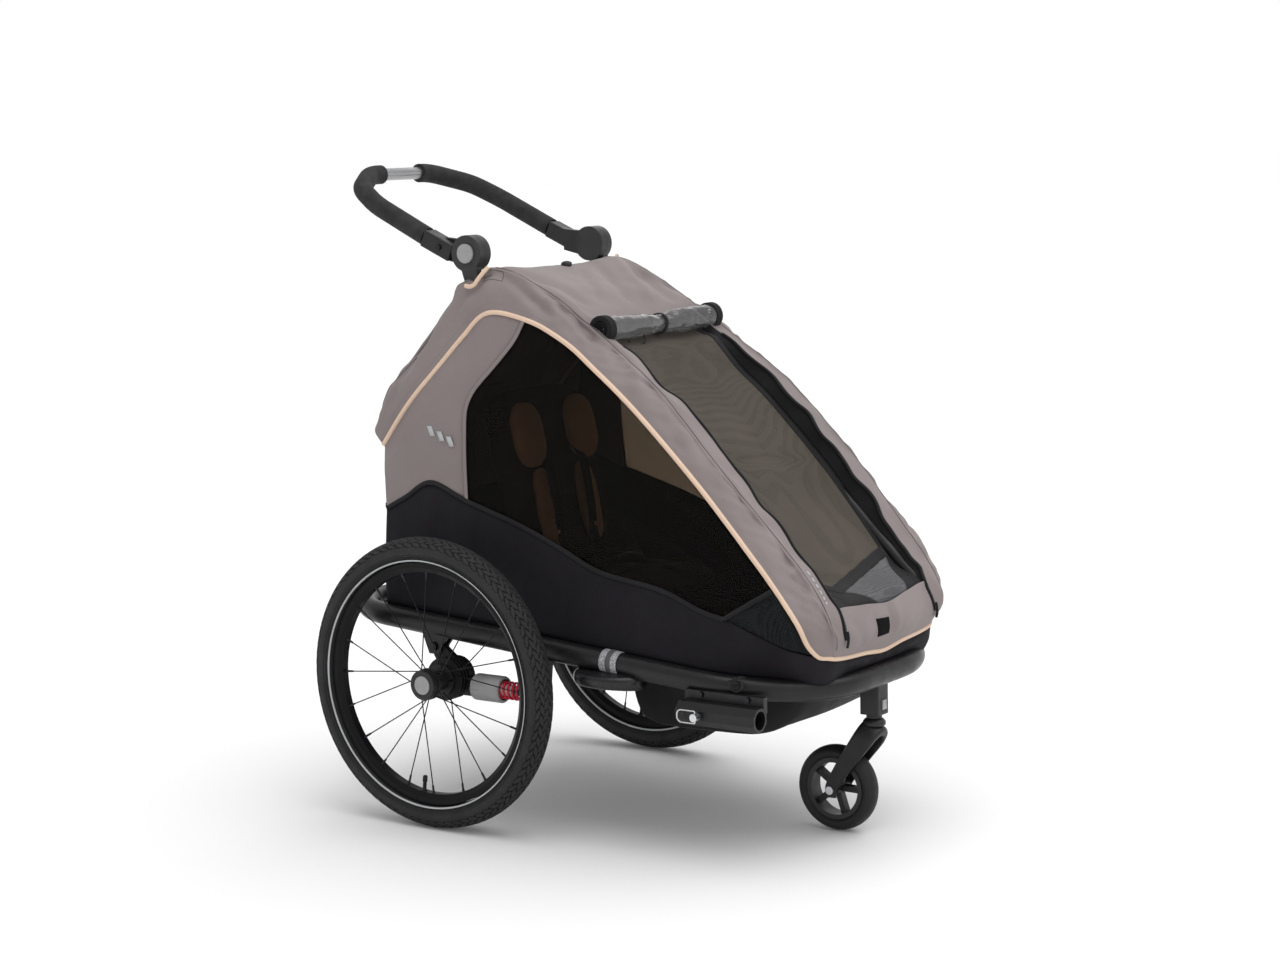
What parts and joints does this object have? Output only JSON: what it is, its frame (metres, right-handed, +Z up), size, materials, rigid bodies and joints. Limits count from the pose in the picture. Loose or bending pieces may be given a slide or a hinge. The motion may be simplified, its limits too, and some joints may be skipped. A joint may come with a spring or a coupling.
{
  "type": "child bicycle trailer",
  "caption": "Single-seat child bicycle trailer and stroller: ring frame, fabric cabin on a folding hoop and upright, sprung spoked wheels, swivel caster, handlebar and side tow socket.",
  "frame": {"origin": "on the ground under the middle of the trailer's outline", "axes": "+X forward in the direction of travel, +Y to the left, +Z up"},
  "size_m": [1.0274, 0.712, 1.118],
  "materials": {
    "frame_black": "satin black powder coat",
    "bare_steel": "zinc plated",
    "black_steel": "satin black",
    "frame_plastic": "fine moulded grain",
    "arm_black": "glass filled moulding",
    "black_webbing": "woven webbing",
    "bumper_rubber": "satin moulding",
    "reflective": "retroreflective woven strap",
    "tub_black": "coated cloth",
    "seat_fabric": "woven polyester",
    "tan_padding": "padded tan cloth",
    "canopy_taupe": "coated taupe polyester",
    "mesh_black": "insect mesh",
    "skirt_black": "black ripstop",
    "window_clear": "tinted clear film",
    "clear_film": "rolled clear film",
    "silver_aluminium": "brushed silver",
    "grip_foam": "closed-cell foam",
    "caster_tyre": "smooth rubber",
    "grey_plastic": "satin grey",
    "spring_red": "gloss crimson",
    "tyre_black": "block tread with reflective line",
    "rim_black": "black anodised",
    "spoke_black": "black"
  },
  "bodies": {
    "chassis": {"base_frame": "frame_black", "cross_tubes": "frame_black", "fold_shaft": "bare_steel", "hinge_brackets": "frame_black", "frame_bolts": "black_steel", "suspension_brackets": "black_steel", "caster_bracket": "frame_plastic", "tow_socket": "frame_black", "d_ring_loop": "black_webbing", "side_bumpers": "bumper_rubber", "reflective_straps": "reflective", "floor_tub": "tub_black", "seat_base": "seat_fabric", "seat_back": "seat_fabric", "headrest": "tan_padding", "shoulder_pads": "tan_padding", "harness_straps": "black_webbing", "canopy": "canopy_taupe", "front_screen": "mesh_black", "side_skirts": "skirt_black", "side_panels": "canopy_taupe", "side_windows": "window_clear", "rear_panel": "canopy_taupe", "rain_cover_roll": "clear_film"},
    "bow": {"bow_hoop": "frame_black"},
    "upright": {"upright_tubes": "frame_black", "hub_housings": "frame_plastic"},
    "handlebar": {"handlebar_tube": "silver_aluminium", "handle_grips": "grip_foam", "handle_blocks": "frame_plastic", "handle_bolts": "black_steel"},
    "caster": {"caster_fork": "frame_plastic", "caster_stem": "bare_steel", "caster_axle": "bare_steel"},
    "caster_roller": {"caster_tyre": "caster_tyre", "caster_wheel": "frame_plastic"},
    "caster_release": {"caster_button": "grey_plastic"},
    "tow_pin": {"lock_pin": "bare_steel"},
    "tow_bail": {"pin_bail": "bare_steel"},
    "tie_ring": {"d_ring": "black_steel"},
    "handle_release_right": {"handle_button_right": "grey_plastic"},
    "arm_right": {"swing_arm_right": "arm_black", "axle_right": "bare_steel", "spring_right": "spring_red"},
    "knob_right": {"spring_knob_right": "grey_plastic"},
    "wheel_right": {"tyre_right": "tyre_black", "rim_right": "rim_black", "hub_right": "frame_plastic", "spokes_right": "spoke_black"},
    "axle_release_right": {"axle_button_right": "grey_plastic"},
    "handle_release_left": {"handle_button_left": "grey_plastic"},
    "arm_left": {"swing_arm_left": "arm_black", "axle_left": "bare_steel", "spring_left": "spring_red"},
    "knob_left": {"spring_knob_left": "grey_plastic"},
    "wheel_left": {"tyre_left": "tyre_black", "rim_left": "rim_black", "hub_left": "frame_plastic", "spokes_left": "spoke_black"},
    "axle_release_left": {"axle_button_left": "grey_plastic"}
  },
  "joints": [
    {"name": "upright_fold", "type": "hinge", "parent": "chassis", "child": "upright", "pos_m": [-0.30274, 0, 0.384], "axis": [0, 1, 0], "range_deg": [0, 75], "deforming": ["canopy", "front_screen", "side_skirts", "side_panels", "side_windows", "rear_panel", "rain_cover_roll", "seat_back", "headrest", "shoulder_pads", "harness_straps"]},
    {"name": "bow_fold", "type": "hinge", "parent": "chassis", "child": "bow", "pos_m": [0.46926, 0, 0.324], "axis": [0, -1, 0], "range_deg": [0, 37]},
    {"name": "handlebar_tilt", "type": "hinge", "parent": "upright", "child": "handlebar", "pos_m": [-0.19674, 0, 0.969], "axis": [0, 1, 0], "range_deg": [-25, 80]},
    {"name": "caster_swivel", "type": "hinge", "parent": "chassis", "child": "caster", "pos_m": [0.47926, 0, 0.22], "axis": [0, 0, 1], "continuous": true},
    {"name": "caster_roll", "type": "hinge", "parent": "caster", "child": "caster_roller", "pos_m": [0.40986, 0, 0.0725], "axis": [0, 1, 0], "continuous": true},
    {"name": "caster_release_press", "type": "slide", "parent": "chassis", "child": "caster_release", "axis": [-1, 0, 0], "range_m": [0, 0.003], "stiffness_N_per_m": 400},
    {"name": "tow_pin_pull", "type": "slide", "parent": "chassis", "child": "tow_pin", "axis": [0, -1, 0], "range_m": [0, 0.04]},
    {"name": "tow_bail_swing", "type": "hinge", "parent": "tow_pin", "child": "tow_bail", "pos_m": [0.33426, -0.32, 0.247], "axis": [0, 0, 1], "range_deg": [0, 90]},
    {"name": "tie_ring_swing", "type": "hinge", "parent": "chassis", "child": "tie_ring", "pos_m": [0.38526, -0.2775, 0.302], "axis": [-1, 0, 0], "range_deg": [0, 80]},
    {"name": "handle_release_right_press", "type": "slide", "parent": "upright", "child": "handle_release_right", "axis": [0, 1, 0], "range_m": [0, 0.003], "stiffness_N_per_m": 500},
    {"name": "suspension_right", "type": "hinge", "parent": "chassis", "child": "arm_right", "pos_m": [-0.23474, -0.262, 0.298], "axis": [0, -1, 0], "range_deg": [0, 12], "stiffness_Nm_per_rad": 100, "springref_deg": -3.44, "deforming": ["spring_right"]},
    {"name": "spring_knob_right_turn", "type": "hinge", "parent": "arm_right", "child": "knob_right", "pos_m": [-0.11774, -0.262, 0.236], "axis": [1, 0, 0], "range_deg": [0, 180]},
    {"name": "wheel_right_roll", "type": "hinge", "parent": "arm_right", "child": "wheel_right", "pos_m": [-0.19274, -0.329, 0.25], "axis": [0, 1, 0], "continuous": true},
    {"name": "axle_release_right_press", "type": "slide", "parent": "arm_right", "child": "axle_release_right", "axis": [0, 1, 0], "range_m": [0, 0.0035], "stiffness_N_per_m": 500},
    {"name": "handle_release_left_press", "type": "slide", "parent": "upright", "child": "handle_release_left", "axis": [0, -1, 0], "range_m": [0, 0.003], "stiffness_N_per_m": 500},
    {"name": "suspension_left", "type": "hinge", "parent": "chassis", "child": "arm_left", "pos_m": [-0.23474, 0.262, 0.298], "axis": [0, -1, 0], "range_deg": [0, 12], "stiffness_Nm_per_rad": 100, "springref_deg": -3.44, "deforming": ["spring_left"]},
    {"name": "spring_knob_left_turn", "type": "hinge", "parent": "arm_left", "child": "knob_left", "pos_m": [-0.11774, 0.262, 0.236], "axis": [1, 0, 0], "range_deg": [0, 180]},
    {"name": "wheel_left_roll", "type": "hinge", "parent": "arm_left", "child": "wheel_left", "pos_m": [-0.19274, 0.329, 0.25], "axis": [0, 1, 0], "continuous": true},
    {"name": "axle_release_left_press", "type": "slide", "parent": "arm_left", "child": "axle_release_left", "axis": [0, -1, 0], "range_m": [0, 0.0035], "stiffness_N_per_m": 500}
  ],
  "couplings": [
    {"joint": "bow_fold", "follows": "upright_fold", "ratio": 0.49333}
  ]
}
